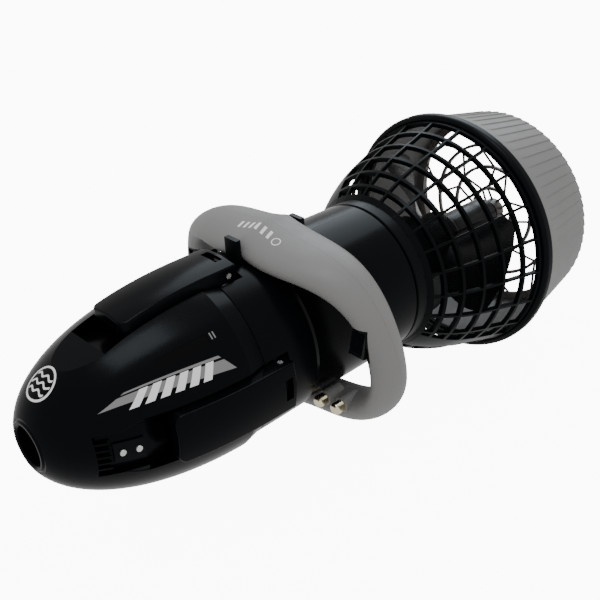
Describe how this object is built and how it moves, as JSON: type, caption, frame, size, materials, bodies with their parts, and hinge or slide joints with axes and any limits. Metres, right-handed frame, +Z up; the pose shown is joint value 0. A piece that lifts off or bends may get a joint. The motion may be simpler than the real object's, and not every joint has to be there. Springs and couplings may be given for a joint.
{
  "type": "underwater scooter",
  "caption": "Battery-driven underwater scooter: a torpedo hull with a pull-off latched nose, a ring handle with two triggers, and a caged, ducted propeller.",
  "frame": {"origin": "below the middle of the scooter, on the plane that the guard rim stands on", "axes": "+X along the scooter's axis towards the outlet, so the nose points to -X; +Y to starboard; +Z up"},
  "size_m": [0.6195, 0.2896, 0.27],
  "materials": {
    "hull_gloss": "glossy blue-black moulding",
    "guard_black": "semi-gloss black moulding",
    "trim_gray": "satin mid-gray moulding",
    "grille_gray": "satin warm-gray moulding",
    "propeller_black": "satin black nylon",
    "smoked_window": "polished smoked plastic",
    "steel": "stainless, turned",
    "black_screw": "black oxide",
    "contact_metal": "bright plated contact",
    "seal_rubber": "matte rubber",
    "cast_weight": "dark cast",
    "battery_case": "moulded case",
    "board_green": "solder mask",
    "motor_steel": "plated steel",
    "copper_brass": "dull brass"
  },
  "bodies": {
    "hull": {"latch_collar": "hull_gloss", "hull_shell": "hull_gloss", "guard_cage": "guard_black", "guard_rim": "guard_black", "trigger_housings": "guard_black", "handle_straps": "guard_black", "tail_housing": "guard_black", "bulkhead": "guard_black", "cable_gland": "guard_black", "hull_liner": "guard_black", "board_posts": "guard_black", "battery_tray": "guard_black", "motor_mount": "guard_black", "shroud": "trim_gray", "handle_front_shell": "trim_gray", "handle_rear_shell": "trim_gray", "rear_grille": "grille_gray", "latch_pins": "steel", "latch_springs": "steel", "front_bearing": "steel", "rear_bearing": "steel", "trigger_pins": "steel", "trigger_springs": "steel", "handle_screws": "steel", "guard_screws": "black_screw", "charging_posts": "contact_metal", "battery_terminals": "contact_metal", "shaft_seal": "seal_rubber", "battery_strap": "seal_rubber", "motor_magnets": "cast_weight", "battery_pack": "battery_case", "control_board": "board_green", "motor_can": "motor_steel", "motor_brushes": "copper_brass", "reed_switches": "copper_brass"},
    "drive": {"armature": "motor_steel", "drive_shaft": "steel", "propeller": "propeller_black", "shear_pin": "steel", "propeller_nut": "propeller_black"},
    "nose": {"nose_shell": "hull_gloss", "nose_socket": "hull_gloss", "tether_bar": "steel", "nose_seal": "seal_rubber", "ballast_weights": "cast_weight", "catch_plates": "steel", "catch_screws": "steel", "charge_window": "smoked_window"},
    "latch_top": {"latch_arm_top": "hull_gloss"},
    "latch_port": {"latch_arm_port": "hull_gloss"},
    "latch_starboard": {"latch_arm_starboard": "hull_gloss"},
    "trigger_left": {"trigger_port": "propeller_black", "trigger_magnet_port": "cast_weight"},
    "trigger_right": {"trigger_starboard": "propeller_black", "trigger_magnet_starboard": "cast_weight"}
  },
  "joints": [
    {"name": "propeller_spin", "type": "hinge", "parent": "hull", "child": "drive", "pos_m": [0.18, 0, 0.135], "axis": [1, 0, 0], "continuous": true},
    {"name": "nose_slide", "type": "slide", "parent": "hull", "child": "nose", "axis": [-1, 0, 0], "range_m": [0, 0.15]},
    {"name": "latch_top_lift", "type": "hinge", "parent": "hull", "child": "latch_top", "pos_m": [-0.112, 0, 0.219], "axis": [0, 1, 0], "range_deg": [0, 65]},
    {"name": "latch_port_lift", "type": "hinge", "parent": "hull", "child": "latch_port", "pos_m": [-0.112, -0.084, 0.135], "axis": [0, 0, 1], "range_deg": [0, 65]},
    {"name": "latch_starboard_lift", "type": "hinge", "parent": "hull", "child": "latch_starboard", "pos_m": [-0.112, 0.084, 0.135], "axis": [0, 0, -1], "range_deg": [0, 65]},
    {"name": "trigger_port_pull", "type": "hinge", "parent": "hull", "child": "trigger_left", "pos_m": [-0.038, -0.1135, 0.1685], "axis": [0, -1, 0], "range_deg": [0, 8], "stiffness_Nm_per_rad": 0.5, "springref_deg": -2.86},
    {"name": "trigger_starboard_pull", "type": "hinge", "parent": "hull", "child": "trigger_right", "pos_m": [-0.038, 0.1135, 0.1685], "axis": [0, -1, 0], "range_deg": [0, 8], "stiffness_Nm_per_rad": 0.5, "springref_deg": -2.86}
  ]
}
